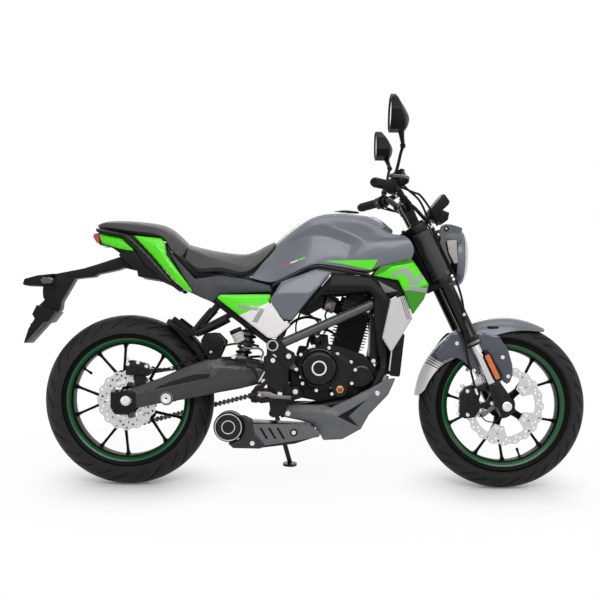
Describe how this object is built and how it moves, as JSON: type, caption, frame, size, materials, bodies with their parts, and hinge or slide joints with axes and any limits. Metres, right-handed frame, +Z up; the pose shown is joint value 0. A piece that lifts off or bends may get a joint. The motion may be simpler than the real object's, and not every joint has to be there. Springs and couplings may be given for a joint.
{
  "type": "motorcycle",
  "caption": "Naked street motorcycle leaning on its side stand, with turning wheels and steering, a folding stand and a hinged fuel cap.",
  "frame": {"origin": "on the ground, under the middle of the whole leaning motorcycle", "axes": "+X forward, +Y to the rider's left, +Z up"},
  "size_m": [2.035, 0.8149, 1.3941],
  "materials": {
    "frame_black": "satin black paint",
    "engine_black": "baked matt black",
    "exhaust_steel": "heat-stained steel",
    "exhaust_black": "matt black",
    "grey_plastic": "fine grain",
    "dark_grey_plastic": "fine grain",
    "black_plastic": "fine grain",
    "tank_paint": "metallic blue grey",
    "green_paint": "gloss lime green",
    "white_plastic": "gloss white",
    "mudguard_grey": "satin grey",
    "seat_vinyl": "grained vinyl",
    "red_lens": "clear red",
    "clear_lens": "clear",
    "steel": "zinc plated",
    "chain_steel": "oiled",
    "alloy": "grey anodised",
    "cap_alloy": "brushed",
    "chrome": "hard chrome",
    "fork_black": "black anodised",
    "rim_black": "gloss black",
    "disc_steel": "ground steel",
    "tyre": "road rubber",
    "black_rubber": "moulded",
    "reservoir_plastic": "milky"
  },
  "bodies": {
    "chassis": {"frame": "frame_black", "crankcase": "engine_black", "cylinder_block": "engine_black", "engine_covers": "engine_black", "exhaust_header": "exhaust_steel", "silencer": "exhaust_black", "heat_shield": "grey_plastic", "belly_pan": "grey_plastic", "radiator": "black_plastic", "fuel_tank": "tank_paint", "tank_wings": "tank_paint", "shrouds": "green_paint", "radiator_covers": "white_plastic", "air_cowls": "black_plastic", "knee_panels": "dark_grey_plastic", "side_covers": "white_plastic", "seat_trim": "dark_grey_plastic", "rider_seat": "seat_vinyl", "pillion_seat": "seat_vinyl", "undertray": "black_plastic", "tail_cowl": "green_paint", "grab_rail": "black_plastic", "tail_lamp": "red_lens", "plate_carrier": "black_plastic", "rear_indicators": "black_plastic", "swingarm": "frame_black", "pivot_bolt": "steel", "rear_axle": "steel", "hugger": "black_plastic", "chain_guard": "black_plastic", "chain": "chain_steel", "shock": "steel", "footrests": "alloy", "foot_controls": "alloy", "pillion_pegs": "black_rubber", "rear_caliper": "engine_black", "brake_reservoir": "reservoir_plastic"},
    "steering": {"triple_clamps": "frame_black", "fork_tubes": "fork_black", "fork_legs": "chrome", "front_axle": "steel", "front_mudguard": "mudguard_grey", "front_caliper": "engine_black", "handlebar": "frame_black", "grips": "black_rubber", "hand_controls": "black_plastic", "mirrors": "black_plastic", "dash": "black_plastic", "headlamp": "black_plastic", "headlamp_lens": "clear_lens", "front_hose": "black_rubber"},
    "front_wheel": {"front_rim": "rim_black", "front_tyre": "tyre", "front_disc": "disc_steel"},
    "rear_wheel": {"rear_rim": "rim_black", "rear_tyre": "tyre", "rear_disc": "disc_steel", "rear_sprocket": "steel"},
    "stand": {"side_stand": "frame_black"},
    "cap": {"fuel_cap": "cap_alloy"}
  },
  "joints": [
    {"name": "steer", "type": "hinge", "parent": "chassis", "child": "steering", "pos_m": [0.41853, -0.05479, 0.81249], "axis": [-0.4384, 0.1406, 0.8877], "range_deg": [-35, 35]},
    {"name": "front_wheel_spin", "type": "hinge", "parent": "steering", "child": "front_wheel", "pos_m": [0.7175, -0.13641, 0.29717], "axis": [0, 0.9877, -0.1564], "continuous": true},
    {"name": "rear_wheel_spin", "type": "hinge", "parent": "chassis", "child": "rear_wheel", "pos_m": [-0.6325, -0.13547, 0.30309], "axis": [0, 0.9877, -0.1564], "continuous": true},
    {"name": "stand_fold", "type": "hinge", "parent": "chassis", "child": "stand", "pos_m": [-0.1085, 0.0097, 0.24163], "axis": [0.1277, 0.9076, 0.4], "range_deg": [0, 100]},
    {"name": "fuel_cap_lift", "type": "hinge", "parent": "chassis", "child": "cap", "pos_m": [0.1895, -0.0278, 0.98292], "axis": [0, 0.9877, -0.1564], "range_deg": [0, 95]}
  ]
}
